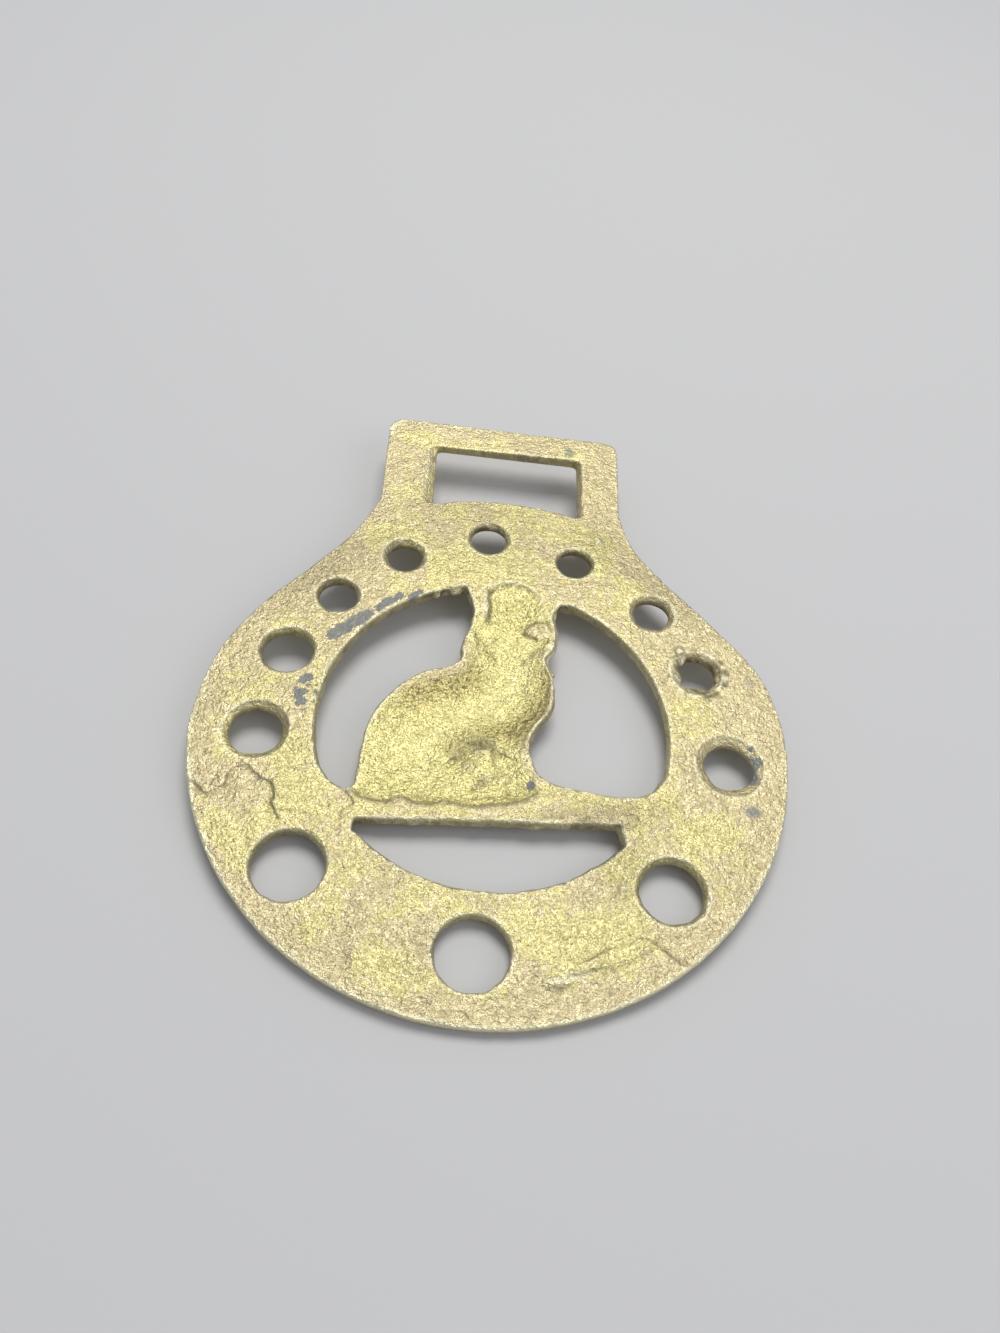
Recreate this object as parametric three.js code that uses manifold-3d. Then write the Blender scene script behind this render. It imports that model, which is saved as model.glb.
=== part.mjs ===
// Horse brass: a cast disc with a ring of round holes, an openwork middle where a cat sits
// on a bar, and a rectangular strap hanger above. It was cast in one, and it lies face down,
// with its rough back up. Millimetres, +Z up, +Y towards the hanger.
import * as THREE from 'three';
import Module from 'manifold-3d';

const wasm = await Module();
wasm.setup();

// Driving dimensions
const DISC_RADIUS = 38;
const THICKNESS = 1.8;
const EDGE_ROUNDING = 0.3;
const FRONT_DRAFT = 0.25;

const HANGER_HALF_WIDTH = 18.05;
const HANGER_TOP_LEFT = 55.8;
const HANGER_TOP_RIGHT = 54.2;
const HANGER_CORNER = 2.4;
const HANGER_FOOT_LEFT = 38.8;

// The disc is round up to these angles from +X, and its flattened shoulders pass on through
// these points to the hanger
const SHOULDER_ANGLES = { right: 4.5, left: 182.5 };
const SHOULDER_RIGHT = [
  [37.1, 7.2], [35.8, 10.8], [33.4, 14.4], [28.4, 20.8], [23.7, 26.2], [19.6, 32.4], [17.8, 38.6],
];
const SHOULDER_LEFT = [
  [-18.6, 36.6], [-21.6, 30.3], [-26.4, 23.8], [-31.2, 17.9], [-35.2, 11.0], [-36.7, 6.7], [-37.5, 2.8],
];

// The strap slot at the back: it tapers, so its ends stand closer together at the mould's joint
const SLOT = { left: -11.7, right: 11.9, topLeft: 50.3, topRight: 49.4 };
const SLOT_FOOT = { left: 38.0, crown: 39.2, right: 37.3 };
const SLOT_CORNER = 0.9;
const SLOT_TAPER = { left: 1.0, right: 0.35 };

// The ring's inner edge, at the narrowest place of its wall
const RING_RADIUS = 22.45;
const RING_CENTRE = [0.1, 0.2];

// Every opening is narrowest at the mould's joint and widens from there to both faces
const JOINT_DEPTH = 0.8;
const BACK_FLARE = 0.35;
const FRONT_FLARE = 0.2;
const OVERRUN = 6;

// The twelve holes: centre, radius at the mould's joint and radius at the back
const HOLES = [
  { x: -1.4, y: -29.8, joint: 4.25, back: 4.45 },
  { x: -23.0, y: -20.7, joint: 4.2, back: 4.45 },
  { x: 21.7, y: -21.1, joint: 3.75, back: 4.2 },
  { x: -29.6, y: -3.0, joint: 3.3, back: 4.0 },
  { x: 30.3, y: -3.7, joint: 3.15, back: 4.15 },
  { x: -27.5, y: 9.4, joint: 3.2, back: 3.6 },
  { x: 27.2, y: 10.4, joint: 2.5, back: 3.3 },
  { x: -22.0, y: 19.2, joint: 2.6, back: 2.95 },
  { x: 21.7, y: 20.1, joint: 2.5, back: 3.1 },
  { x: -13.5, y: 27.2, joint: 2.4, back: 2.95 },
  { x: 10.9, y: 28.4, joint: 2.4, back: 2.8 },
  { x: -1.6, y: 31.8, joint: 2.55, back: 3.05 },
];
const HOLE_SIDES = 20;

// The forms of the cat: an oval's centre, half length, half width and the angle of its length
// from +X, how far it stands out of the front, and how deep it is hollowed from the back
const CAT_FORMS = {
  haunch: { x: -8.6, y: -3.2, long: 9.8, wide: 8.4, turn: 62, front: 2.2, back: 1.65 },
  shoulder: { x: 0.4, y: 4.6, long: 9.4, wide: 6.4, turn: 38, front: 2.75, back: 1.9 },
  neck: { x: 1.6, y: 10.6, long: 5.6, wide: 4.8, turn: 80, front: 2.3, back: 1.5 },
  head: { x: 2.4, y: 15.9, long: 6.2, wide: 5.4, turn: 90, front: 3.5, back: 0.8 },
  crown: { x: 2.0, y: 19.4, long: 4.5, wide: 4.0, turn: 90, front: 0, back: 0.75 },
  muzzle: { x: 6.2, y: 14.8, long: 2.9, wide: 2.5, turn: 20, front: 2.7, back: 0.5 },
  nape: { x: -3.0, y: 13.6, long: 3.6, wide: 1.9, turn: 78, front: 1.7, back: 0.5 },
  earBehind: { x: -1.3, y: 21.0, long: 3.3, wide: 1.7, turn: 108, front: 2.5, back: 0 },
  earBefore: { x: 5.3, y: 21.2, long: 3.2, wide: 1.7, turn: 74, front: 2.4, back: 0 },
  foreleg: { x: 2.4, y: -3.8, long: 7.0, wide: 3.1, turn: 92, front: 1.9, back: 1.1 },
  forepaw: { x: 2.6, y: -8.6, long: 3.6, wide: 2.4, turn: 14, front: 1.5, back: 0.95 },
  hindPaw: { x: -5.6, y: -9.2, long: 8.4, wide: 2.6, turn: 0, front: 1.6, back: 1.1 },
};
const FORM_SOFTNESS = 0.22;
const CAT_BOUNDS = { left: -17.5, right: 9.5, low: -12.5, high: 25.4 };
const CAT_STEP = 0.95;
// How far the cat's height blocks reach into or over the plate where the cat is not
const HIDDEN_OVERLAP = 0.3;

// It rests on the rim's foot and on the cat, whose high places are worn flat where they bear
const REST_TILT = THREE.MathUtils.degToRad(3.3);

const ARC_STEP = 2.3;
const CURVE_STEP = 1.5;

function points2(list) {
  return list.map(([x, y]) => new THREE.Vector2(x, y));
}

// Points along a path, with its corners kept and its curves divided evenly
function sampled(path, step) {
  const points = [];
  for (const curve of path.curves) {
    const pieces = curve.isLineCurve ? 1 : Math.max(2, Math.ceil(curve.getLength() / step));
    for (let i = 0; i < pieces; i++) points.push(curve.getPoint(i / pieces));
  }
  return points.filter((point, i) => point.distanceTo(points[(i + 1) % points.length]) > 0.05);
}

// The outline moved outwards by an amount, for points that run counterclockwise
function grown(points, amount) {
  const count = points.length;
  return points.map((point, i) => {
    const before = point.clone().sub(points[(i + count - 1) % count]).normalize();
    const after = points[(i + 1) % count].clone().sub(point).normalize();
    const outward = new THREE.Vector2(before.y + after.y, -before.x - after.x);
    const reach = amount / Math.max(0.6, outward.length() / 2);
    return outward.normalize().multiplyScalar(reach).add(point);
  });
}

function solid(vertices, triangles) {
  return new wasm.Manifold(new wasm.Mesh({
    numProp: 3,
    vertProperties: new Float32Array(vertices),
    triVerts: new Uint32Array(triangles),
  }));
}

// A solid whose section passes through each outline in turn, from the lowest up
function lofted(levels) {
  const count = levels[0].points.length;
  const vertices = levels.flatMap(({ z, points }) => points.flatMap(({ x, y }) => [x, y, z]));
  const triangles = [];
  for (let level = 0; level + 1 < levels.length; level++) {
    for (let i = 0; i < count; i++) {
      const a = level * count + i;
      const b = level * count + ((i + 1) % count);
      triangles.push(a, b, b + count, a, b + count, a + count);
    }
  }
  const last = (levels.length - 1) * count;
  for (const [a, b, c] of THREE.ShapeUtils.triangulateShape(levels[0].points, [])) {
    triangles.push(c, b, a);
  }
  for (const [a, b, c] of THREE.ShapeUtils.triangulateShape(levels.at(-1).points, [])) {
    triangles.push(last + a, last + b, last + c);
  }
  return solid(vertices, triangles);
}

// A block over the cat's bounds, between two surfaces given as heights
function heightBlock(lowSurface, highSurface) {
  const { left, right, low, high } = CAT_BOUNDS;
  const columns = Math.round((right - left) / CAT_STEP);
  const rows = Math.round((high - low) / CAT_STEP);
  const layer = (columns + 1) * (rows + 1);
  const vertices = [];
  for (const surface of [lowSurface, highSurface]) {
    for (let j = 0; j <= rows; j++) {
      for (let i = 0; i <= columns; i++) {
        const x = left + ((right - left) * i) / columns;
        const y = low + ((high - low) * j) / rows;
        vertices.push(x, y, surface(x, y));
      }
    }
  }
  const at = (i, j) => j * (columns + 1) + i;
  const triangles = [];
  for (let j = 0; j < rows; j++) {
    for (let i = 0; i < columns; i++) {
      const [a, b, c, d] = [at(i, j), at(i + 1, j), at(i + 1, j + 1), at(i, j + 1)];
      triangles.push(c, b, a, d, c, a);
      triangles.push(layer + a, layer + b, layer + c, layer + a, layer + c, layer + d);
    }
  }
  const wall = (a, b) => triangles.push(a, b, layer + b, a, layer + b, layer + a);
  for (let i = 0; i < columns; i++) {
    wall(at(i, 0), at(i + 1, 0));
    wall(at(i + 1, rows), at(i, rows));
  }
  for (let j = 0; j < rows; j++) {
    wall(at(columns, j), at(columns, j + 1));
    wall(at(0, j + 1), at(0, j));
  }
  return solid(vertices, triangles);
}

// Outer outline: the disc, its flattened shoulders and the hanger
function plateOutline() {
  const startAngle = THREE.MathUtils.degToRad(SHOULDER_ANGLES.right);
  const endAngle = THREE.MathUtils.degToRad(SHOULDER_ANGLES.left);
  const path = new THREE.Path();
  path.moveTo(DISC_RADIUS * Math.cos(startAngle), DISC_RADIUS * Math.sin(startAngle));
  path.splineThru(points2(SHOULDER_RIGHT));
  path.lineTo(HANGER_HALF_WIDTH, HANGER_TOP_RIGHT - HANGER_CORNER);
  path.quadraticCurveTo(
    HANGER_HALF_WIDTH, HANGER_TOP_RIGHT, HANGER_HALF_WIDTH - HANGER_CORNER, HANGER_TOP_RIGHT);
  path.lineTo(HANGER_CORNER - HANGER_HALF_WIDTH, HANGER_TOP_LEFT);
  path.quadraticCurveTo(
    -HANGER_HALF_WIDTH, HANGER_TOP_LEFT, -HANGER_HALF_WIDTH, HANGER_TOP_LEFT - HANGER_CORNER);
  path.lineTo(-HANGER_HALF_WIDTH, HANGER_FOOT_LEFT);
  path.splineThru(points2(SHOULDER_LEFT).concat(
    new THREE.Vector2(DISC_RADIUS * Math.cos(endAngle), DISC_RADIUS * Math.sin(endAngle))));
  path.absarc(0, 0, DISC_RADIUS, endAngle, startAngle + 2 * Math.PI, false);
  return sampled(path, ARC_STEP);
}

// Strap slot: nearly rectangular, with a bowed foot
function slotOutline() {
  const { left, right, topLeft, topRight } = SLOT;
  const bow = 2 * SLOT_FOOT.crown - (SLOT_FOOT.left + SLOT_FOOT.right) / 2;
  const path = new THREE.Path();
  path.moveTo(left, SLOT_FOOT.left + SLOT_CORNER);
  path.quadraticCurveTo(left, SLOT_FOOT.left, left + SLOT_CORNER, SLOT_FOOT.left);
  path.quadraticCurveTo((left + right) / 2, bow, right - SLOT_CORNER, SLOT_FOOT.right);
  path.quadraticCurveTo(right, SLOT_FOOT.right, right, SLOT_FOOT.right + SLOT_CORNER);
  path.lineTo(right, topRight - SLOT_CORNER);
  path.quadraticCurveTo(right, topRight, right - SLOT_CORNER, topRight);
  path.lineTo(left + SLOT_CORNER, topLeft);
  path.quadraticCurveTo(left, topLeft, left, topLeft - SLOT_CORNER);
  return sampled(path, CURVE_STEP);
}

// Opening behind the cat's back, bounded by the ring
function leftOpening() {
  const path = new THREE.Path();
  path.moveTo(-16.8, -9.3);
  path.splineThru(points2([
    [-16.5, -4.6], [-15.8, 0], [-13.6, 4.2], [-9.9, 7.6], [-5.7, 9.3], [-4.7, 10.7], [-4.8, 12.3],
    [-3.7, 16.4], [-3.5, 18.6], [-4.4, 21.4],
  ]));
  arcOfRing(path, 102.5, 197);
  path.quadraticCurveTo(-20.8, -8.4, -18.9, -9.7);
  path.quadraticCurveTo(-17.4, -10.7, -16.8, -9.3);
  return sampled(path, CURVE_STEP);
}

// Opening before the cat's face and chest, down to the bar
function rightOpening() {
  const path = new THREE.Path();
  path.moveTo(21.2, -6.4);
  arcOfRing(path, -16, 62.5);
  path.splineThru(points2([
    [9.0, 20.2], [8.0, 18.2], [8.4, 15.8], [8.1, 12.6], [7.0, 10.9], [7.5, 9.2], [8.2, 6.8],
    [7.9, 3.4], [5.9, 0.2], [5.0, -2.6], [5.5, -5.4], [7.6, -7.6], [11.4, -8.4], [15.9, -8.9],
    [19.6, -8.3], [21.2, -6.4],
  ]));
  return sampled(path, CURVE_STEP);
}

// Segment under the bar
function lowerOpening() {
  const path = new THREE.Path();
  path.moveTo(-15.9, -14.5);
  path.lineTo(-16.0, -15.7);
  arcOfRing(path, 225.5, 315.5);
  path.lineTo(15.7, -13.3);
  path.lineTo(-15.9, -14.5);
  return sampled(path, CURVE_STEP);
}

function arcOfRing(path, from, to) {
  const [x, y] = RING_CENTRE;
  const { degToRad } = THREE.MathUtils;
  path.absarc(x, y, RING_RADIUS, degToRad(from), degToRad(to), false);
}

// What an opening removes: narrowest at the mould's joint, wider at both faces
function opening(joint, back, front) {
  return lofted([
    { z: -OVERRUN, points: front },
    { z: 0, points: front },
    { z: THICKNESS - JOINT_DEPTH, points: joint },
    { z: THICKNESS, points: back },
    { z: THICKNESS + OVERRUN, points: back },
  ]);
}

function flaredOpening(points) {
  return opening(points, grown(points, BACK_FLARE), grown(points, FRONT_FLARE));
}

function circle(x, y, radius) {
  return Array.from({ length: HOLE_SIDES }, (_, i) => {
    const angle = (2 * Math.PI * i) / HOLE_SIDES;
    return new THREE.Vector2(x + radius * Math.cos(angle), y + radius * Math.sin(angle));
  });
}

function strapSlot() {
  const back = slotOutline();
  const taper = (x) => (x < 0 ? 1 + SLOT_TAPER.left / SLOT.left : 1 - SLOT_TAPER.right / SLOT.right);
  const joint = back.map(({ x, y }) => new THREE.Vector2(x * taper(x), y));
  return opening(joint, back, joint);
}

function roundHole({ x, y, joint, back }) {
  return opening(circle(x, y, joint), circle(x, y, back), circle(x, y, joint + FRONT_FLARE));
}

// Height of the cat's forms over the plate, with neighbours blended into each other. Each form
// is a low dome, which falls below zero outside its oval.
function catHeight(side, x, y) {
  let sum = 0;
  for (const form of Object.values(CAT_FORMS)) {
    if (form[side] === 0) continue;
    const turn = THREE.MathUtils.degToRad(form.turn);
    const along = (x - form.x) * Math.cos(turn) + (y - form.y) * Math.sin(turn);
    const across = (y - form.y) * Math.cos(turn) - (x - form.x) * Math.sin(turn);
    const dome = form[side] * (1 - (along / form.long) ** 2 - (across / form.wide) ** 2);
    sum += Math.exp(dome / FORM_SOFTNESS);
  }
  return FORM_SOFTNESS * Math.log(sum);
}

// How far the front stands above what it rests on
function clearance(y) {
  return (y + DISC_RADIUS - FRONT_DRAFT - EDGE_ROUNDING) * Math.tan(REST_TILT);
}

function frontRelief() {
  const surface = (x, y) => Math.min(catHeight('front', x, y), clearance(y));
  return heightBlock((x, y) => Math.min(-surface(x, y), HIDDEN_OVERLAP), () => THICKNESS / 2);
}

function backHollow() {
  const surface = (x, y) => THICKNESS - catHeight('back', x, y);
  const top = THICKNESS + HIDDEN_OVERLAP;
  return heightBlock((x, y) => Math.min(surface(x, y), top), () => 2 * THICKNESS);
}

function castBrass() {
  const outline = plateOutline();
  let brass = lofted([
    { z: 0, points: grown(outline, -FRONT_DRAFT - EDGE_ROUNDING) },
    { z: EDGE_ROUNDING, points: grown(outline, -FRONT_DRAFT) },
    { z: THICKNESS - EDGE_ROUNDING, points: outline },
    { z: THICKNESS, points: grown(outline, -EDGE_ROUNDING) },
  ]);
  brass = brass.add(frontRelief()).subtract(backHollow());
  for (const points of [leftOpening(), rightOpening(), lowerOpening()]) {
    brass = brass.subtract(flaredOpening(points));
  }
  brass = brass.subtract(strapSlot());
  for (const hole of HOLES) brass = brass.subtract(roundHole(hole));
  return brass;
}

function geometryOf(manifold) {
  const mesh = manifold.getMesh();
  const geometry = new THREE.BufferGeometry();
  geometry.setAttribute('position', new THREE.BufferAttribute(mesh.vertProperties, mesh.numProp));
  geometry.setIndex(new THREE.BufferAttribute(mesh.triVerts, 1));
  geometry.computeVertexNormals();
  return geometry;
}

const agedBrass = new THREE.MeshStandardMaterial({ color: 0xb9a05a, metalness: 0.9, roughness: 0.45 });

const horseBrass = new THREE.Mesh(geometryOf(castBrass()), agedBrass);
horseBrass.name = 'horse_brass';
horseBrass.rotation.x = REST_TILT;

// The origin is under the middle of the brass, on what it lies on
const lying = new THREE.Group();
lying.add(horseBrass);
lying.updateMatrixWorld(true);
const box = new THREE.Box3().setFromObject(lying, true);
const middle = box.getCenter(new THREE.Vector3());
horseBrass.position.set(-middle.x, -middle.y, -box.min.z);

export default lying;
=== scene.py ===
import math
import bpy
import numpy as np
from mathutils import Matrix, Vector


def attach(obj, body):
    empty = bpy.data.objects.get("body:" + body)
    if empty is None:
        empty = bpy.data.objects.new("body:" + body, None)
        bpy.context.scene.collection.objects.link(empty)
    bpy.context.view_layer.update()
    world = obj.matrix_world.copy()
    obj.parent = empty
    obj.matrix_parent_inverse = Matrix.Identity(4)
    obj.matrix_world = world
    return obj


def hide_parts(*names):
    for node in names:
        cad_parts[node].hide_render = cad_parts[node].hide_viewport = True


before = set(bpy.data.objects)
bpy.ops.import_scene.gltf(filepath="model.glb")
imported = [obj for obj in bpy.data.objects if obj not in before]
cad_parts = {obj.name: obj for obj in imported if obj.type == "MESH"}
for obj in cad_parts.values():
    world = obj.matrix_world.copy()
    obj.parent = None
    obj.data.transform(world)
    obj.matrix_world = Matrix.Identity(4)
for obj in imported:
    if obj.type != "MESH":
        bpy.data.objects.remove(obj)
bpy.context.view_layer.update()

# Driving dimensions, as in the solid
DISC_RADIUS = 38.0
THICKNESS = 1.8
EDGE_ROUNDING = 0.3
FRONT_DRAFT = 0.25
HANGER_HALF_WIDTH = 18.05
HANGER_TOP_LEFT = 55.8
HANGER_TOP_RIGHT = 54.2
HANGER_CORNER = 2.4
HANGER_FOOT_LEFT = 38.8
SHOULDER_ANGLES = {"right": 4.5, "left": 182.5}
SHOULDER_RIGHT = [
    (37.1, 7.2), (35.8, 10.8), (33.4, 14.4), (28.4, 20.8), (23.7, 26.2), (19.6, 32.4), (17.8, 38.6),
]
SHOULDER_LEFT = [
    (-18.6, 36.6), (-21.6, 30.3), (-26.4, 23.8), (-31.2, 17.9), (-35.2, 11.0), (-36.7, 6.7), (-37.5, 2.8),
]
SLOT = {"left": -11.7, "right": 11.9, "top_left": 50.3, "top_right": 49.4}
SLOT_FOOT = {"left": 38.0, "crown": 39.2, "right": 37.3}
SLOT_CORNER = 0.9
SLOT_TAPER = {"left": 1.0, "right": 0.35}
RING_RADIUS = 22.45
RING_CENTRE = (0.1, 0.2)
JOINT_DEPTH = 0.8
BACK_FLARE = 0.35
FRONT_FLARE = 0.2
REST_TILT = math.radians(3.3)
PLATE_ORIGIN = (-0.0148, -8.8068, 2.1558)

# Finer than in the solid: at the back the slot's worn right end stands further out, its left
# end slopes in by more, and the holes' rims open wider, along a curve
SLOT_BEVEL = 0.3
SLOT_RAMP = 0.4
SLOT_FRONT_FLARE = 0.1
RIM_SPREAD = 1.25
RIM_CURVE = 1.7

# Holes: centre, radius at the mould's joint and radius at the back
HOLES = [
    (-1.4, -29.8, 4.25, 4.45), (-23.0, -20.7, 4.2, 4.45), (21.7, -21.1, 3.75, 4.2),
    (-29.6, -3.0, 3.3, 4.0), (30.3, -3.7, 3.15, 4.15), (-27.5, 9.4, 3.2, 3.6),
    (27.2, 10.4, 2.5, 3.3), (-22.0, 19.2, 2.6, 2.95), (21.7, 20.1, 2.5, 3.1),
    (-13.5, 27.2, 2.4, 2.95), (10.9, 28.4, 2.4, 2.8), (-1.6, 31.8, 2.55, 3.05),
]

# Forms of the cat: centre, half length, half width, turn from +X in degrees, how far it stands
# out of the front and how deep it is hollowed from the back
CAT_FORMS = [
    (-8.6, -3.2, 9.8, 8.4, 62, 2.2, 1.65),
    (0.4, 4.6, 9.4, 6.4, 38, 2.75, 1.9),
    (1.6, 10.6, 5.6, 4.8, 80, 2.3, 1.5),
    (2.4, 15.9, 6.2, 5.4, 90, 3.5, 0.8),
    (2.0, 19.4, 4.5, 4.0, 90, 0, 0.75),
    (6.2, 14.8, 2.9, 2.5, 20, 2.7, 0.5),
    (-3.0, 13.6, 3.6, 1.9, 78, 1.7, 0.5),
    (-1.3, 21.0, 3.3, 1.7, 108, 2.5, 0),
    (5.3, 21.2, 3.2, 1.7, 74, 2.4, 0),
    (2.4, -3.8, 7.0, 3.1, 92, 1.9, 1.1),
    (2.6, -8.6, 3.6, 2.4, 14, 1.5, 0.95),
    (-5.6, -9.2, 8.4, 2.6, 0, 1.6, 1.1),
]
FORM_SOFTNESS = 0.22
STREAK_SPACING = 0.85

# Places worn bright, some of them painted highlights on folds and lumps: centre, half length, half width
# and turn from +X
WORN_AND_GLINTING_PLACES = [
    (-16.9, 54.4, 1.2, 0.5, 50), (-17.6, 52.6, 0.9, 0.35, 90), (21.4, -31.6, 1.3, 0.3, 33),
    (15.0, -35.2, 2.2, 0.3, 17), (-36.6, -8.4, 3.9, 0.25, -74), (14.5, 33.2, 0.4, 0.8, 10),
    (9.0, 20.3, 0.7, 0.3, 5), (-4.6, 21.4, 0.8, 0.3, 150), (25.4, 13.2, 0.5, 0.9, 20),
    (-11.5, 44.0, 5.2, 0.16, 90), (-1.4, -3.7, 0.8, 0.2, -4), (9.2, -32.0, 2.2, 0.5, 14),
    (24.3, 9.4, 0.3, 0.8, 0), (29.4, 13.6, 0.7, 0.3, -40), (31.1, 9.8, 0.3, 0.7, 0),
    (26.2, 6.6, 0.9, 0.3, -10),
]

# Places yellower or more tan than around them: centre, half length, half width, turn and how much
YELLOW_PLACES = [
    (0, 30, 13, 6, 0, 0.3), (-9, 24.5, 6, 3, 20, 0.25), (-24.5, -11.5, 6, 3.5, 40, 0.4),
    (-34, -11, 2.5, 4, 0, 0.5), (-29.5, -12.8, 3.6, 3.4, 0, -0.6), (-31, -19, 4, 2.5, -60, 0.35),
    (10, -27.5, 10, 4, 8, 0.35), (-13, -29, 7, 5, -15, 0.3), (27.5, -14, 4.5, 2.5, -20, 0.5),
    (-31, 22, 12, 5, 52, -0.35), (30, 9, 9, 5, 100, -0.3), (25, -28, 8, 5, 45, -0.35),
    (0, -36.5, 16, 2.2, 0, -0.25), (17, 44, 10, 2.6, 90, -0.25), (-12, 36, 4, 3, 0, 0.2),
    (9.4, -31.9, 3.0, 0.9, 14, 0.6), (17.0, -28.6, 4.5, 1.2, 12, 0.5),
    (-33.5, 5.0, 4, 2.5, 80, 0.3), (13, -13.5, 4, 2, 0, -0.2), (15, 26, 4, 3, -40, 0.2),
]

# Places darker or paler than around them: centre, half length, half width, turn and how much darker
# These are partly painted shade and painted light that even out the brightness over the plate, paler on
# the hanger, and partly darker brown tone
DARKNESS = 0.07
DARKEST = 0.35
DARKER_PLACES = [
    (6.5, -8.4, 2.2, 1.1, 0, 0.1), (-1.0, -2.7, 1.8, 0.8, 0, 0.1),
    (-9, 50.5, 13, 6, 0, -0.07), (13, 50.5, 5, 3, 0, -0.07), (33, -4, 4.5, 8, 0, -0.06),
    (-33, -8, 4, 6, 0, -0.06), (26, 12, 5, 5, 0, -0.05),
    (0, 33, 14, 6, 0, 0.13), (-3, 37.5, 8, 1.8, 0, 0.12), (15, 31.5, 6, 3.5, -55, 0.14),
    (24, 24.5, 7, 3, -48, 0.2), (-24.5, 23.5, 9.5, 3, 40, 0.2), (15, -11.5, 5.5, 2, 0, 0.22),
    (16.5, -19, 5, 4, -30, 0.17), (-8, -20.5, 8, 2.5, -8, 0.1), (-6, -31, 3, 3, 0, 0.08),
]

# Heights of the uneven ground, the crumbs and the sand-cast grain
WAVE_HEIGHT = 0.06
SAND_HEIGHT = 0.016
ROUGHER_SAND = 0.014
FINE_SAND = 0.016
CRUMB_HEIGHT = 0.1
HOLLOW_SAND = 0.04
HOLLOW_FINE_SAND = 0.022
GRAIN_HEIGHT = 0.018
FINE_GRAIN_HEIGHT = 0.026
SMOOTH_FRONT = 0.15
ROUGH_DEPTH = 0.9
RAGGED_WALL = 0.015

# Seams: how much of their height shows, their wall, and the painted shadow line along them
SEAM_SHARE = 0.6
SEAM_WALL = 0.1
SEAM_LINE = 0.14
DARKEST_SEAM = 0.4

# Flash at the mould's joint, and how far from the joint it and the raggedness reach
FIN_HEIGHT = 0.2
FIN_REACH = 0.2
RAGGED_REACH = 0.35

# Radii by which the edges are rounded over
SLOT_ROUNDING = 0.08
OPENING_ROUNDING = 0.1
BACK_ROUNDING = 0.22
FRONT_ROUNDING = 0.7

# Grid on which the surface is worked out
STEP = 0.2
STEP_UP = 0.2
TRIANGLES = 192000
xs = np.arange(-39.0, 39.1, STEP)
ys = np.arange(-39.0, 56.9, STEP)
zs = np.arange(-3.9, 2.7, STEP_UP)
X, Y = np.meshgrid(xs, ys, indexing="ij")


def curve_through(points, count=6):
    """Points on a smooth curve through the given ones."""
    p = np.array(points, float)
    out = []
    for i in range(len(p) - 1):
        a, b, c, d = p[max(i - 1, 0)], p[i], p[i + 1], p[min(i + 2, len(p) - 1)]
        for t in np.arange(count) / count:
            v0, v1 = (c - a) / 2, (d - b) / 2
            cubic, square = 2 * b - 2 * c + v0 + v1, 3 * c - 3 * b - 2 * v0 - v1
            out.append(cubic * t**3 + square * t**2 + v0 * t + b)
    return [tuple(q) for q in out] + [tuple(p[-1])]


def arc(centre, radius, start, end):
    angles = np.radians(np.linspace(start, end, max(3, int(abs(end - start) * radius / 50))))
    return [(centre[0] + radius * math.cos(a), centre[1] + radius * math.sin(a)) for a in angles]


def bend(a, b, c, count=5):
    """Points on the curve from a to c that is pulled towards b."""
    a, b, c = (np.array(p, float) for p in (a, b, c))
    return [tuple((1 - t) ** 2 * a + 2 * t * (1 - t) * b + t * t * c) for t in np.linspace(0, 1, count)]


def nearest(points, closed=False):
    """Distance from each grid column to a line, and the side of the line it is on."""
    best = np.full(X.shape, 1e9)
    side = np.ones(X.shape)
    for (ax, ay), (bx, by) in zip(points, points[1:] + points[:1] if closed else points[1:]):
        dx, dy = bx - ax, by - ay
        if dx * dx + dy * dy < 1e-9:
            continue
        t = np.clip(((X - ax) * dx + (Y - ay) * dy) / (dx * dx + dy * dy), 0, 1)
        d = (X - ax - t * dx) ** 2 + (Y - ay - t * dy) ** 2
        closer = d < best
        best[closer] = d[closer]
        side[closer] = np.sign(dx * (Y - ay) - dy * (X - ax))[closer]
    return np.sqrt(best), side


def depth_inside(points):
    """Distance to a closed outline, positive inside it."""
    hit = np.zeros(X.shape, bool)
    for (ax, ay), (bx, by) in zip(points, points[1:] + points[:1]):
        if ay != by:
            hit ^= ((ay > Y) != (by > Y)) & (X < ax + (bx - ax) * (Y - ay) / (by - ay))
    return np.where(hit, 1, -1) * nearest(points, closed=True)[0]


def smooth_min(a, b, radius):
    share = np.clip(0.5 + 0.5 * (b - a) / radius, 0, 1)
    return b + (a - b) * share - radius * share * (1 - share)


def step_up(value, low, high):
    t = np.clip((value - low) / (high - low), 0, 1)
    return t * t * (3 - 2 * t)


def lattice_noise(axes, cell, seed):
    """Smooth random values of about unit size over a grid, with bumps of about that size."""
    rng = np.random.default_rng(seed)
    spreads = []
    for axis in axes:
        t = (axis - axis[0]) / cell + 1
        i = np.floor(t).astype(int)
        f = t - i
        spread = np.zeros((len(axis), i[-1] + 3))
        rows = np.arange(len(axis))
        weights = ((1 - f) ** 3, 3 * f**3 - 6 * f**2 + 4, 1 + 3 * f + 3 * f**2 - 3 * f**3, f**3)
        for k, w in enumerate(weights):
            spread[rows, i - 1 + k] = w / 6
        spreads.append(spread)
    values = rng.standard_normal([s.shape[1] for s in spreads])
    for spread in spreads:
        values = np.moveaxis(np.tensordot(spread, values, axes=(1, 0)), 0, -1)
    return (values / values.std()).astype(np.float32)


def plane_noise(cell, seed):
    return lattice_noise((xs, ys), cell, seed)


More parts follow.
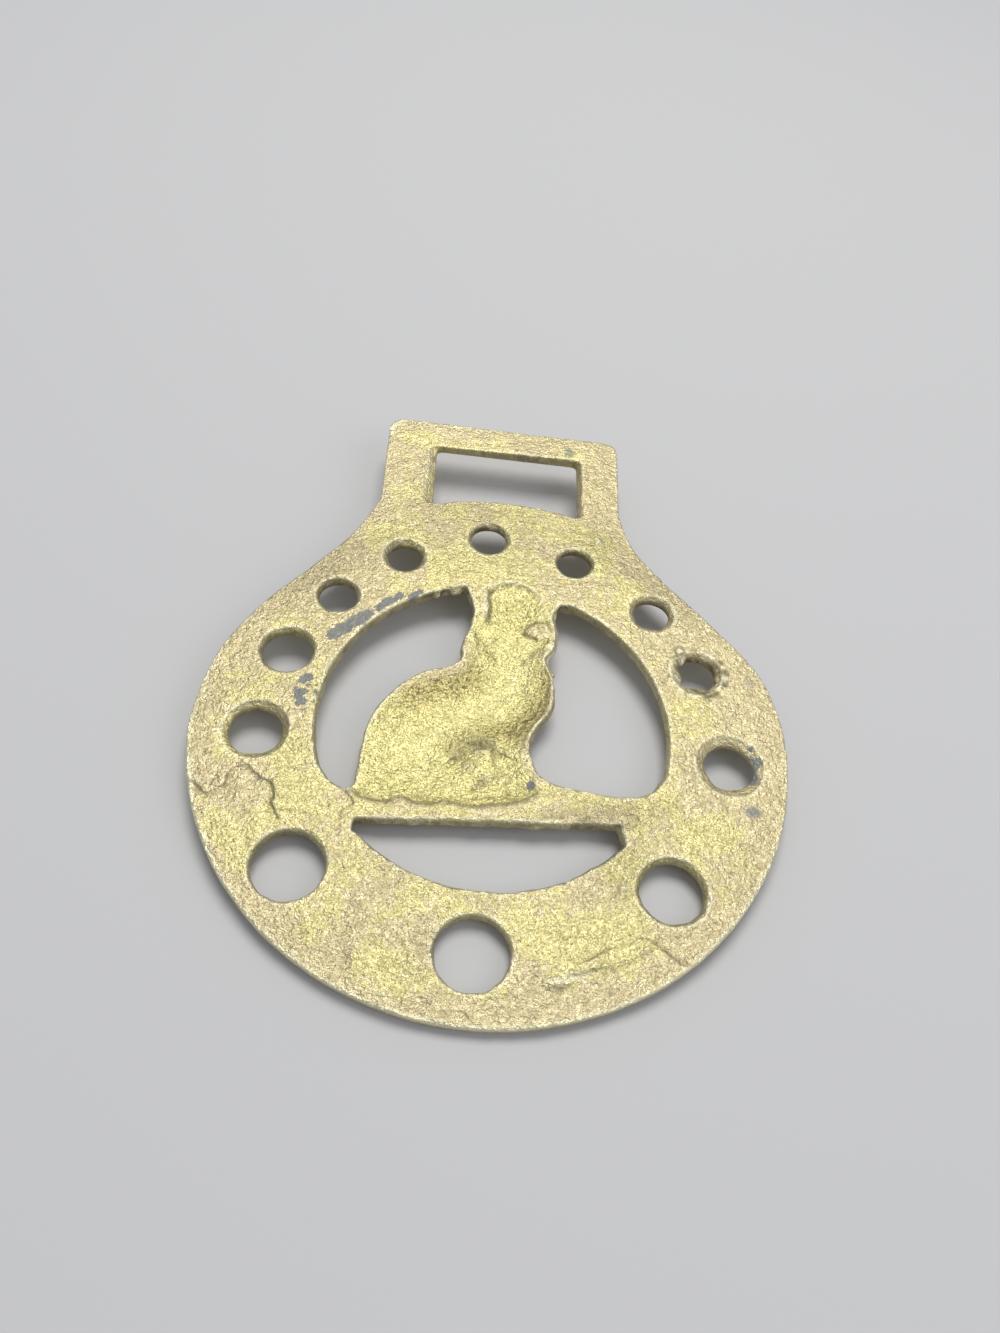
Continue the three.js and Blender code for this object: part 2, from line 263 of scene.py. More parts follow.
def outer_outline():
    a, b = SHOULDER_ANGLES["right"], SHOULDER_ANGLES["left"]
    w, c = HANGER_HALF_WIDTH, HANGER_CORNER
    start, end = arc((0, 0), DISC_RADIUS, a, b)[0], arc((0, 0), DISC_RADIUS, a, b)[-1]
    return (
        curve_through([start] + SHOULDER_RIGHT)
        + bend((w, HANGER_TOP_RIGHT - c), (w, HANGER_TOP_RIGHT), (w - c, HANGER_TOP_RIGHT))
        + bend((c - w, HANGER_TOP_LEFT), (-w, HANGER_TOP_LEFT), (-w, HANGER_TOP_LEFT - c))
        + curve_through([(-w, HANGER_FOOT_LEFT)] + SHOULDER_LEFT + [end])
        + arc((0, 0), DISC_RADIUS, b, a + 360)[1:-1]
    )


def slot_outline(taper_left=0.0, taper_right=0.0):
    left, right, c = SLOT["left"] + taper_left, SLOT["right"] - taper_right, SLOT_CORNER
    foot_left, foot_right = SLOT_FOOT["left"], SLOT_FOOT["right"]
    top_left, top_right = SLOT["top_left"], SLOT["top_right"]
    bow = 2 * SLOT_FOOT["crown"] - (foot_left + foot_right) / 2
    return (
        bend((left, foot_left + c), (left, foot_left), (left + c, foot_left))
        + bend((left + c, foot_left), ((left + right) / 2, bow), (right - c, foot_right), 16)[1:]
        + bend((right - c, foot_right), (right, foot_right), (right, foot_right + c))[1:]
        + bend((right, top_right - c), (right, top_right), (right - c, top_right))
        + bend((left + c, top_left), (left, top_left), (left, top_left - c))
    )


CAT_BACK = [
    (-16.8, -9.3), (-16.5, -4.6), (-15.8, 0.0), (-14.1, 3.3), (-12.1, 5.8), (-9.5, 7.8), (-6.7, 8.8),
    (-5.5, 9.5), (-4.75, 10.5), (-4.85, 12.0), (-4.5, 13.8), (-3.7, 16.4), (-3.5, 18.6), (-4.4, 21.4),
]
CAT_FACE = [
    (9.0, 20.2), (8.0, 18.2), (8.35, 16.2), (8.4, 14.6), (8.1, 12.8), (7.0, 10.9), (7.3, 9.6),
    (8.1, 7.6), (8.1, 5.4), (7.9, 3.4), (7.3, 2.0), (5.9, 0.2), (5.1, -1.7), (5.0, -3.3),
    (5.5, -5.4), (6.3, -6.7), (7.6, -7.6), (11.4, -8.4), (15.9, -8.9), (19.6, -8.3), (21.2, -6.4),
]
left_opening = (
    curve_through(CAT_BACK)
    + arc(RING_CENTRE, RING_RADIUS, 102.5, 197)
    + bend(arc(RING_CENTRE, RING_RADIUS, 102.5, 197)[-1], (-20.8, -8.4), (-18.9, -9.7))
    + bend((-18.9, -9.7), (-17.4, -10.7), (-16.8, -9.3))[1:-1]
)
right_opening = arc(RING_CENTRE, RING_RADIUS, -16, 62.5) + curve_through(CAT_FACE)
lower_opening = (
    [(-15.9, -14.5), (-16.0, -15.7)]
    + arc(RING_CENTRE, RING_RADIUS, 225.5, 315.5)
    + [(15.7, -13.3)]
)


def turned(x, y, turn):
    """Distances from a point, along a direction and across it."""
    c, s = math.cos(math.radians(turn)), math.sin(math.radians(turn))
    return (X - x) * c + (Y - y) * s, (Y - y) * c - (X - x) * s


def cat_height(column):
    """The cat's forms run together: column 0 is the front's relief, column 1 the hollow."""
    total = np.zeros(X.shape)
    for x, y, long, wide, turn, *heights in CAT_FORMS:
        if heights[column] == 0:
            continue
        along, across = turned(x, y, turn)
        dome = heights[column] * (1 - (along / long) ** 2 - (across / wide) ** 2)
        total += np.exp(dome / FORM_SOFTNESS)
    return FORM_SOFTNESS * np.log(total)


def line_mark(points, width):
    """1 on a line, fading to 0 over about its width."""
    return np.exp(-((nearest(curve_through(points, 3))[0] / width) ** 2))


def group_mark(lines, width):
    return sum(line_mark(line, width) for line in lines)


def oval_mark(x, y, long, wide, turn, edge):
    """1 inside an oval and 0 outside it, with a soft edge."""
    along, across = turned(x, y, turn)
    reach = np.sqrt((along / long) ** 2 + (across / wide) ** 2)
    return 1 - step_up(reach, 1 - edge, 1 + edge)


def each_mark(rows):
    """The marks of a table whose rows hold an amount and then an oval or a line. An oval is its
    centre, half length, half width, turn and soft edge, and a line is its points and width."""
    for amount, *shape in rows:
        yield amount * (line_mark(*shape) if len(shape) == 2 else oval_mark(*shape))


def marks(rows):
    return sum(each_mark(rows))


def ledge(points, height, fade, wall=0.3):
    """A step along a line: the side to its left stands higher by the line and fades away from it."""
    distance, side = nearest(curve_through(points, 3))
    signed = distance * side
    return height * (step_up(signed, -wall, wall) - 0.5) * np.exp(-((distance / fade) ** 2))


# The back: a hollow cat with a flat rim, on an uneven sandy plate
hollow_outline = curve_through([
    (-17.6, -10.2), (-15.8, -11.4), (-14.2, -11.8), (-12.6, -12.0), (-11.8, -11.5), (-10.8, -11.2),
    (-9.9, -11.5), (-8.8, -11.9), (-7.4, -11.9), (-5.9, -11.4), (-4.4, -11.6), (-3.0, -11.8),
    (-1.6, -11.9), (0.0, -11.5), (2.2, -11.2), (3.6, -10.8), (4.8, -10.3), (5.8, -9.3), (5.5, -7.6),
    (4.5, -6.0), (4.1, -4.4), (4.3, -2.6), (5.1, -0.9), (6.6, 1.0), (7.5, 3.0), (7.8, 5.0),
    (7.6, 7.0), (6.9, 8.8), (6.6, 10.4), (7.2, 11.8), (7.9, 13.2), (8.0, 15.0), (7.8, 16.8),
    (6.9, 18.2), (6.2, 19.6), (6.0, 21.4), (5.4, 22.7), (4.0, 23.5), (2.2, 23.7), (0.6, 23.4),
    (-0.8, 22.7), (-2.2, 22.4), (-2.9, 21.4), (-3.0, 19.0), (-3.1, 16.8), (-3.9, 14.8), (-4.3, 12.8),
    (-4.1, 10.9), (-4.2, 9.2), (-5.4, 7.6), (-7.6, 6.6), (-9.6, 5.9), (-11.7, 4.6), (-14.0, 3.0),
    (-15.9, 0.6), (-17.0, -2.6), (-17.5, -5.6), (-17.6, -8.6), (-17.6, -10.2),
])
hollow_in = depth_inside(hollow_outline[:-1])
floor_depth = np.maximum(cat_height(1), 0.35)
upper_wall = line_mark([(-12.0, 5.0), (-9.0, 6.6), (-5.6, 8.0), (-3.8, 10.0)], 3.2)
lower_wall = line_mark([(-15.0, -11.8), (-8.0, -11.8), (0.0, -11.6), (5.5, -9.6)], 1.6)
wall_width = 4.4 - 2.0 * upper_wall - 2.9 * lower_wall
wall_depth = 1.7 * (1 - np.exp(-np.maximum(hollow_in, 0) / wall_width))
hollow = np.where(hollow_in > 0, np.maximum(smooth_min(floor_depth, wall_depth, 0.5), 0), 0)

# Lines of the cat's thigh, paws, head, ear, muzzle and neck
thigh = [(-4.5, -4.1), (-3.6, -3.2), (-2.7, -2.6), (-1.6, -2.4), (-0.5, -2.8), (0.6, -3.4)]
thigh_back = [(0.6, -3.4), (1.4, -3.2), (2.4, -2.8), (3.6, -2.5)]
paw_lines = [
    [(-2.2, -9.2), (-1.2, -8.4), (-0.4, -8.0), (0.6, -7.5), (1.3, -7.1), (2.0, -6.8), (2.5, -7.3),
     (2.3, -7.9), (1.7, -8.2)],
    [(2.3, -8.9), (2.2, -9.6), (1.6, -10.0), (0.6, -9.9), (-0.4, -10.3)],
]
head_line = [(-0.9, 21.9), (-0.3, 22.5), (0.6, 23.1), (1.6, 23.4), (2.6, 23.3), (3.6, 23.1), (4.3, 22.7)]
head_side = [(5.4, 22.6), (5.8, 21.6), (5.8, 20.4), (6.2, 19.2)]
ear_line = [(-1.0, 22.2), (-1.1, 20.6), (-0.8, 19.4), (-1.0, 18.0), (-1.0, 16.6)]
muzzle_lines = [
    [(3.8, 15.3), (3.9, 15.9), (4.4, 16.6), (5.0, 17.0), (5.8, 17.2), (6.8, 17.1), (7.3, 16.6),
     (7.6, 15.7)],
    [(3.8, 15.3), (4.6, 14.8), (5.3, 14.4)],
]
head_ridge = [(-2.6, 21.5), (-1.9, 22.6), (-1.0, 23.2), (1.4, 23.9), (3.7, 23.5), (5.4, 22.4), (6.1, 20.8)]
neck_lines = [
    [(-1.6, 13.0), (-1.0, 12.0), (-0.2, 11.0)], [(5.7, 12.6), (4.8, 11.6), (3.7, 10.7)],
    [(7.0, 12.6), (6.2, 11.6)], [(-3.4, 8.9), (-2.8, 9.7), (-2.6, 10.6)],
]
# What stands up inside the hollow
RAISED = [
    (0.16, -1.4, -3.75, 1.0, 0.34, -4, 0.6),
    (0.12, -3.1, -5.7, 0.5, 0.8, 12, 0.7),
    (0.1, 4.2, -4.2, 0.5, 0.8, 20, 0.6),
    (0.4, -1.9, 19.6, 2.8, 0.65, 90, 0.3),
    (0.26, 5.8, 15.7, 1.9, 1.35, -12, 0.15),
    (0.16, [(7.3, 15.4), (7.5, 14.0), (6.9, 12.6)], 0.6),
    (0.12, 2.6, 11.9, 1.25, 1.2, 0, 0.3),
    (0.3, -3.5, 13.2, 0.9, 1.6, 8, 0.4),
    (0.1, 2.0, 21.4, 1.5, 1.0, 20, 0.4),
]
LEAST_HOLLOW = 0.06
hollow = np.where(hollow_in > 0, np.maximum(hollow - marks(RAISED), LEAST_HOLLOW), hollow)

# What is cut into it: the lines, and streaks along the chest
face_in = nearest(curve_through(CAT_FACE))[0]
chest_streaks = 0.5 + 0.5 * np.sin(2 * math.pi * face_in / STREAK_SPACING + 1.5 * plane_noise(2.5, 15))
chest = [(7.9, 8.2), (7.8, 5.6), (6.9, 3.2), (5.4, 1.2), (3.6, -0.6)]
chest_streaks = chest_streaks * (line_mark(chest, 1.7) * (hollow_in > 0))
sunk = (
    marks([(0.14, ear_line, 0.3), (0.1, head_line, 0.35), (0.07, head_side, 0.35)])
    + 0.12 * group_mark(muzzle_lines, 0.3)
    + 0.07 * group_mark(paw_lines, 0.3)
    + 0.08 * group_mark(neck_lines, 0.4)
    + 0.06 * chest_streaks
)
# Below the thigh's edge the hollow is deeper
hollow = hollow - (ledge(thigh, 0.4, 2.4, 0.9) + ledge(thigh_back, 0.1, 1.2, 0.4)) * (hollow_in > 0)

# Seams where the metal met cold, as low steps: points, height and how far the step fades
cold_seams = [
    ([(-35.2, -11.2), (-34.6, -11.6), (-34.0, -12.3), (-33.4, -12.1), (-32.6, -11.5), (-31.9, -10.9),
      (-31.9, -10.0), (-31.6, -9.1), (-30.9, -8.5), (-29.8, -8.2), (-29.1, -8.7), (-28.3, -9.5),
      (-27.4, -10.0), (-26.5, -10.3), (-26.1, -11.1), (-25.8, -12.3), (-26.1, -12.8),
      (-25.7, -13.6)], 0.46, 1.7),
    ([(-26.2, -14.6), (-24.9, -13.9), (-23.3, -13.7), (-22.0, -14.0), (-20.6, -14.2),
      (-19.8, -14.4)], 0.08, 1.0),
    ([(25.4, 13.9), (24.2, 11.6), (24.0, 9.2), (25.0, 7.2), (26.8, 6.3), (29.2, 6.8), (30.8, 8.8),
      (31.2, 11.0), (30.2, 13.0), (28.4, 14.2)], 0.12, 0.9),
    ([(7.5, -32.3), (10.5, -31.4), (13.0, -30.6), (15.5, -30.0), (17.5, -29.0)], 0.3, 1.3),
    ([(12.0, -29.6), (14.0, -28.5), (16.0, -28.0), (17.9, -27.0), (19.5, -27.8), (20.8, -28.8),
      (22.2, -29.8), (24.4, -30.0)], -0.34, 1.6),
    ([(24.0, -11.6), (26.5, -12.2), (28.2, -13.6), (30.4, -14.4), (32.4, -14.6)], 0.1, 1.4),
    ([(13.4, 46.8), (13.0, 43.0), (12.5, 39.0), (12.3, 37.0)], 0.1, 0.9),
    ([(18.6, -13.9), (17.2, -15.6), (15.6, -17.3)], -0.08, 1.2),
    ([(-37.6, 0.5), (-36.0, 0.7), (-34.2, 0.8)], 0.12, 0.8),
    ([(-19.0, -9.9), (-17.6, -10.8), (-16.8, -11.6), (-16.4, -12.6), (-17.6, -13.5),
      (-17.7, -14.6)], 0.25, 1.1),
]
seams = sum(ledge(points, SEAM_SHARE * height, fade, SEAM_WALL) for points, height, fade in cold_seams)
# Painted shadow along each seam's step, darker for a higher step
seam_shadow_lines = sum(
    abs(height) / DARKEST_SEAM * line_mark(points, SEAM_LINE) for points, height, _ in cold_seams
)

# Lumps, one dent and the ridge round the cat's head
LUMPS = [
    (0.35, 8.1, -32.5, 1.5, 0.6, 14, 0.5),
    (0.12, 4.6, -31.0, 0.8, 0.5, 0, 0.5),
    (0.4, 25.3, 13.3, 0.6, 1.2, 15, 0.5),
    (0.15, 14.5, 33.2, 0.5, 0.9, 10, 0.6),
    (0.2, 16.6, -12.4, 1.2, 0.8, 0, 0.6),
    (-0.16, -15.7, -31.6, 1.1, 1.0, 0, 0.5),
    (0.14, 28.0, -12.4, 2.2, 1.0, -15, 0.7),
    (0.1, 22.0, -11.5, 1.5, 0.8, 10, 0.7),
    (0.08, head_ridge, 0.25),
]

# The uneven ground, and where it is rougher or crumbles
rougher = marks([
    (1, 0, 26, 24, 9, 0, 0.4), (1, 30, -10, 7, 9, 0, 0.5), (1, 14, -31, 9, 5, 10, 0.5),
])
crumbly = marks([
    (1, 27.4, 10.3, 4.1, 4.0, 0, 0.12), (0.45, [(-15.5, -14.4), (0.0, -14.0), (15.4, -13.2)], 0.5),
])
crumbs = plane_noise(0.65, 27)
in_cat = step_up(hollow_in, 0.0, 1.2)
uneven = WAVE_HEIGHT * plane_noise(8.0, 11) + (SAND_HEIGHT + ROUGHER_SAND * rougher) * plane_noise(2.4, 12)
uneven = uneven + FINE_SAND * rougher * plane_noise(1.1, 16)
uneven = uneven + CRUMB_HEIGHT * crumbly * crumbs
uneven = uneven + in_cat * (
    HOLLOW_SAND * plane_noise(1.8, 23) + HOLLOW_FINE_SAND * plane_noise(0.95, 24)
)
patchy = step_up(plane_noise(1.6, 13), -0.9, 0.6)
back = THICKNESS + uneven - hollow - sunk + seams * (0.7 + 0.3 * patchy) + marks(LUMPS)

# The front: the standing cat, worn flat where it lies on the floor
clearance = (Y + DISC_RADIUS - FRONT_DRAFT - EDGE_ROUNDING) * math.tan(REST_TILT)
front = -np.maximum(cat_height(0), 0)

# Depth inside the metal, positive in it
outer = depth_inside(outer_outline())
slot_back = -depth_inside(slot_outline(0, -SLOT_BEVEL))
slot_joint = -depth_inside(slot_outline(SLOT_TAPER["left"] + SLOT_RAMP, SLOT_TAPER["right"]))
rough_rim = 0.05 * oval_mark(37.2, -9.0, 9.5, 3.0, 80, 0.6)
outer = outer + 0.025 * plane_noise(3.5, 21) + (0.006 + rough_rim) * np.abs(plane_noise(0.7, 22))

# Each opening's outline at the mould's joint, how far it widens to the back, and along what curve
openings = [
    (-depth_inside(points), BACK_FLARE, 1.0) for points in (left_opening, right_opening, lower_opening)
]
for x, y, joint, back_radius in HOLES:
    openings.append((np.hypot(X - x, Y - y) - joint, RIM_SPREAD * (back_radius - joint), RIM_CURVE))

grain = lattice_noise((xs, ys, zs), 0.95, 31)
fine = lattice_noise((xs, ys, zs), 0.5, 32)
flash = lattice_noise((xs, ys, zs), 0.8, 33)
raggedness = 0.02 + marks([
    (0.3, [(-9.5, 20.8), (-6.0, 21.9), (-4.6, 21.8), (-3.8, 20.6)], 1.0),
    (0.26, [(7.6, 19.4), (8.4, 20.2), (9.8, 20.2)], 0.8),
    (0.3, [(6.9, 11.2), (7.6, 9.4), (8.2, 6.6)], 0.8),
    (0.3, 27.2, 10.4, 3.6, 3.4, 0, 0.3),
    (0.12, [(-17.6, -13.4), (-16.0, -15.2)], 1.0),
    (0.12, [(14.8, -12.6), (16.0, -14.0)], 1.0),
    (0.1, [(-3.6, 34.0), (0.4, 34.2)], 0.9),
    (0.1, [(-15.5, -14.4), (15.4, -13.3)], 0.7),
])
# A thin fin of flash along the cat's face, where the two halves of the mould met
fin_line = [
    (10.4, 20.4), (9.0, 20.2), (8.0, 18.2), (8.35, 16.2), (8.4, 14.6), (8.1, 12.8), (7.0, 10.9),
    (7.3, 9.6), (8.1, 7.6), (8.1, 6.0),
]
fin = line_mark(fin_line, 0.7) * step_up(plane_noise(1.2, 19), -1.4, 0.2)
joint_height = THICKNESS - JOINT_DEPTH

# The depth inside the metal, level by level
field = np.empty((len(xs), len(ys), len(zs)), np.float32)
for k, z in enumerate(zs):
    over = np.clip((z - joint_height) / JOINT_DEPTH, 0, 1)
    under = np.clip((joint_height - z) / joint_height, 0, 1)
    near_joint = math.exp(-(((z - joint_height) / RAGGED_REACH) ** 2))
    ragged = flash[:, :, k] * (RAGGED_WALL + raggedness * near_joint)
    ragged = ragged + FIN_HEIGHT * fin * math.exp(-(((z - joint_height) / FIN_REACH) ** 2))
    inside = outer - FRONT_DRAFT * under
    slot = slot_joint * (1 - over) + slot_back * over
    inside = smooth_min(inside, slot - SLOT_FRONT_FLARE * under, SLOT_ROUNDING)
    for gap, back_flare, curve in openings:
        edge = gap - back_flare * over**curve - FRONT_FLARE * under + ragged
        inside = smooth_min(inside, edge, OPENING_ROUNDING)
    inside = smooth_min(inside, back - z, BACK_ROUNDING)
    inside = smooth_min(inside, z - front, FRONT_ROUNDING)
    rough = SMOOTH_FRONT + (1 - SMOOTH_FRONT) * (z > back - ROUGH_DEPTH) * step_up(outer, -0.3, 0.8)
    inside = inside + rough * (GRAIN_HEIGHT * grain[:, :, k] + FINE_GRAIN_HEIGHT * fine[:, :, k])
    field[:, :, k] = np.minimum(inside, z + clearance)


def laid_mesh(field):
    """Points and four-cornered faces over the places where the field is zero."""
    corner = field > 0
    nx, ny, nz = field.shape
    offsets = [(i, j, k) for i in (0, 1) for j in (0, 1) for k in (0, 1)]
    total = sum(
        corner[i : nx - 1 + i, j : ny - 1 + j, k : nz - 1 + k].astype(np.int8) for i, j, k in offsets
    )
    cells = np.argwhere((total > 0) & (total < 8))
    number = np.full(total.shape, -1, np.int64)
    number[tuple(cells.T)] = np.arange(len(cells))
    values = [field[cells[:, 0] + i, cells[:, 1] + j, cells[:, 2] + k] for i, j, k in offsets]
    sums, counts = np.zeros((len(cells), 3)), np.zeros(len(cells))
    for a, pa in enumerate(offsets):
        for b, pb in enumerate(offsets):
            if b <= a or sum(abs(p - q) for p, q in zip(pa, pb)) != 1:
                continue
            crossed = (values[a] > 0) != (values[b] > 0)
            t = np.where(crossed, values[a] / np.where(crossed, values[a] - values[b], 1), 0)
            place = np.array(pa) + t[:, None] * (np.array(pb) - np.array(pa))
            sums += place * crossed[:, None]
            counts += crossed
    points = cells + sums / counts[:, None]
    faces = []
    for axis in range(3):
        u, v = [(1, 2), (2, 0), (0, 1)][axis]
        low = [slice(None)] * 3
        high = [slice(None)] * 3
        low[axis], high[axis] = slice(None, -1), slice(1, None)
        a, b = corner[tuple(low)], corner[tuple(high)]
        edges = np.argwhere(a != b)
        edges = edges[(edges[:, u] > 0) & (edges[:, v] > 0)]
        falling = a[tuple(edges.T)]
        du, dv = np.eye(3, dtype=int)[u], np.eye(3, dtype=int)[v]
        around = [number[tuple((edges - p).T)] for p in (du + dv, dv, 0 * du, du)]
        quad = np.stack(around, 1)
        quad[~falling] = quad[~falling][:, ::-1]
        faces.append(quad)
    return points, np.concatenate(faces)


points, faces = laid_mesh(field)
points = points * (STEP, STEP, STEP_UP) + (xs[0], ys[0], zs[0])


def thinned(points, faces, triangles):
    """The mesh with fewer triangles, kept where the shape needs them."""
    mesh = bpy.data.meshes.new("whole_skin")
    mesh.from_pydata(points.tolist(), [], faces.tolist())
    whole = bpy.data.objects.new("whole_skin", mesh)
    bpy.context.scene.collection.objects.link(whole)
    modifier = whole.modifiers.new("thin_out", "DECIMATE")
    modifier.ratio = triangles / (2 * len(faces))
    thin = bpy.data.meshes.new_from_object(whole.evaluated_get(bpy.context.evaluated_depsgraph_get()))
    bpy.data.objects.remove(whole)
    bpy.data.meshes.remove(mesh)
    return thin


mesh = thinned(points, faces, TRIANGLES)
mesh.name = "horse_brass_skin"


def read(collection, key, width, kind=np.float64):
    """One property of all vertices or edges, as rows of the given width."""
    values = np.empty(len(collection) * width, kind)
    collection.foreach_get(key, values)
    return values.reshape(-1, width)


plate = read(mesh.vertices, "co", 3)
corners = read(mesh.edges, "vertices", 2, np.int32)
edges = np.concatenate([corners, corners[:, ::-1]])
degree = np.bincount(edges[:, 0], minlength=len(plate))
normals = read(mesh.vertices, "normal", 3)


def at_points(values):
    """Values of a plan grid at the mesh's points."""
    fx, fy = (plate[:, 0] - xs[0]) / STEP, (plate[:, 1] - ys[0]) / STEP
    i, j = fx.astype(int), fy.astype(int)
    u, v = fx - i, fy - j
    return (
        values[i, j] * (1 - u) * (1 - v) + values[i + 1, j] * u * (1 - v)
        + values[i, j + 1] * (1 - u) * v + values[i + 1, j + 1] * u * v
    )


def spread_out(values, rounds):
    """Each point's value blended with its neighbours'."""
    for _ in range(rounds):
        columns = values.reshape(len(plate), -1)
        shares = [np.bincount(edges[:, 0], column[edges[:, 1]], len(plate)) for column in columns.T]
        values = ((columns + np.array(shares).T) / (1 + degree)[:, None]).reshape(values.shape)
    return values


# How far each point stands out of its surroundings
BULGE_GAIN = 11
bulge = ((plate - spread_out(plate, 3)) * normals).sum(1)
bulge = spread_out(bulge, 1)

facing = spread_out(normals, 3)[:, 2]
wall = 1 - step_up(np.abs(facing), 0.35, 0.8)
is_back = facing > 0
rim_distance = at_points(outer)
in_hollow = step_up(at_points(hollow_in), -0.2, 0.6) * is_back
inner_wall = wall * step_up(rim_distance, 1.5, 2.5)

# Painted shade, with some dirt: in the lines, seams and crumbs, along the hollow's foot and the bar, on
# the walls, at the outer rim's foot and in the low spots of the grain
bar_top = [(3.0, -13.2), (8.0, -12.7), (15.0, -13.1)]
bar_foot = [(-15.0, -14.2), (-6.0, -14.2), (3.0, -13.9), (15.0, -13.6)]
lines = (
    0.7 * line_mark(thigh[:5], 0.9) + 0.3 * line_mark(thigh_back, 0.5)
    + 0.6 * line_mark(ear_line, 0.28) + 0.45 * line_mark(head_line, 0.3) + 0.25 * line_mark(head_side, 0.3)
    + 0.4 * group_mark(muzzle_lines, 0.28)
    + 0.3 * group_mark(paw_lines, 0.28)
    + 0.35 * group_mark(neck_lines, 0.4)
    + 0.6 * np.minimum(seam_shadow_lines, 1) * (0.5 + 0.5 * patchy)
    + 1.1 * crumbly * step_up(-crumbs, 0.1, 1.1)
    + 0.5 * line_mark([(-11.75, 49.6), (-11.75, 38.6)], 0.14)
    + 0.8 * chest_streaks
    + 0.55 * line_mark(bar_top, 0.6) * step_up(plane_noise(0.9, 25), -0.8, 0.8)
    + 0.6 * line_mark(bar_foot, 0.3) * patchy
)
# Painted shade along the foot of the hollow's lower wall
foot_end = min(hollow_outline, key=lambda p: math.hypot(p[0] - 5.8, p[1] + 9.3))
hollow_foot = hollow_outline[: hollow_outline.index(foot_end)]
lines += 0.8 * np.exp(-((nearest(hollow_foot)[0] / 0.32) ** 2))
shade_and_dirt = np.clip(at_points(lines) * is_back, 0, 1)
wall_shade_patches = step_up(at_points(plane_noise(0.9, 18)), -0.5, 1.0)
# Painted shade on the openings' inner walls, in patches
shade_and_dirt = np.maximum(shade_and_dirt, (0.4 + 0.35 * wall_shade_patches) * inner_wall)
# Painted shade on the lower part of the outer rim's wall, near the floor
rim_foot_shade = wall * (1 - step_up(rim_distance, 1.5, 2.5)) * (1 - step_up(plate[:, 2], 0.3, 1.1))
shade_and_dirt = np.maximum(shade_and_dirt, (0.3 + 0.35 * wall_shade_patches) * rim_foot_shade)
# Painted shade in the low spots of the grain
shade_and_dirt = np.clip(shade_and_dirt + np.clip(-bulge * BULGE_GAIN, 0, 0.6), 0, 1)

# Bright where it is worn, with painted highlights: on high grains, along the outer rim and most on the
# near rim, at the edges of the openings, on the fin, the head's ridge and the crumbs' tops
opening_edges = np.full(X.shape, 1e9)
bevel_shade = np.zeros(X.shape)
for gap, back_flare, _ in openings:
    opening_edges = np.minimum(opening_edges, np.abs(gap - back_flare - 0.1))
    bevel_shade = np.maximum(bevel_shade, np.exp(-(((gap - back_flare + 0.14) / 0.12) ** 2)))
patchy_shine = 0.4 + 0.5 * step_up(plane_noise(1.8, 17), -0.5, 1.0)
edge_shine = np.exp(-((opening_edges / 0.15) ** 2)) * patchy_shine
# A painted highlight along the outer rim, stronger towards the near rim
near_rim_highlight = step_up(-Y - 0.35 * X, -8, 16)
edge_shine += np.exp(-(((outer - 0.2) / 0.2) ** 2)) * (0.3 + 0.9 * near_rim_highlight)
for place in WORN_AND_GLINTING_PLACES:
    edge_shine += 0.8 * oval_mark(*place, 0.5)
edge_shine += 0.6 * line_mark(head_ridge, 0.2) + 1.2 * fin * line_mark(fin_line, 0.2)
edge_shine += 0.6 * crumbly * step_up(crumbs, 0.2, 1.3)
# Painted shade on the ring of each opening's bevel
shade_and_dirt = np.maximum(shade_and_dirt, 0.6 * at_points(bevel_shade) * is_back)
# Painted highlight on the hollow's lit band across the shoulder, and on its haunch, neck and thigh
hollow_highlight = marks([
    (1, [(-5.0, -1.0), (-1.5, 3.0), (2.0, 6.6), (3.6, 9.0)], 2.3),
    (0.8, -9.5, -4.5, 4.2, 3.6, 0, 0.7), (0.6, 2.2, 11.8, 2.2, 2.0, 0, 0.7),
    (0.5, 1.8, -4.4, 1.6, 2.4, 0, 0.7),
])
hollow_highlight = np.clip(at_points(hollow_highlight), 0, 1) * in_hollow
shade_and_dirt = shade_and_dirt * (1 - 0.3 * hollow_highlight)
wear_and_highlight = np.clip(bulge * BULGE_GAIN - 0.15, 0, 1) + at_points(edge_shine) * step_up(facing, 0.1, 0.5)
wear_and_highlight = np.clip(wear_and_highlight, 0, 1)

# Grey smears and dots
smears = marks([
    (1.3, [(-21.9, 12.2), (-20.7, 13.4), (-18.6, 15.3)], 0.95),
    (1.2, [(-18.6, 15.3), (-16.2, 17.7), (-13.6, 19.9)], 0.68),
    (1, [(-12.3, 19.4), (-11.4, 20.4), (-10.6, 21.0)], 0.5),
])
smears = np.minimum(smears, 1) * (0.55 + 0.45 * step_up(plane_noise(0.45, 14), -1.2, -0.1))
spots = marks([
    (1, -24.2, 2.9, 1.5, 3.0, 0, 0.35), (1, [(33.5, -1.2), (34.1, -3.2), (33.2, -5.6)], 0.7),
])
smears += np.minimum(spots, 1) * (0.2 + 0.8 * step_up(plane_noise(0.5, 26), -0.7, 0.2))
smears += oval_mark(4.9, -8.3, 0.5, 0.65, 0, 0.3)
grey = np.clip(at_points(smears), 0, 1) * is_back
dots = marks([
    (0.8, 10.4, 51.1, 0.8, 1.05, 0, 0.3), (1, 32.5, -10.1, 0.95, 0.75, 0, 0.3),
    (0.5, 34.4, 9.4, 0.5, 0.6, 0, 0.5),
])
dots = np.clip(at_points(dots), 0, 1) * is_back

# Painted shade on the hollow's steeper parts, which face away from the light, with brown specks in it
brown_and_shade = marks([
    (0.85, [(7.2, 8.4), (7.0, 5.6), (6.0, 3.2), (4.6, 1.2), (2.8, -0.6)], 1.8),
    (1, [(-10.5, 3.9), (-8.0, 5.2), (-5.0, 6.0), (-2.6, 7.4)], 1.9),
    (0.6, [(-5.4, -2.6), (-3.4, -1.0), (-1.0, -0.8), (1.2, -1.0)], 1.4),
])
brown_and_shade = np.clip(at_points(brown_and_shade), 0, 1) * is_back

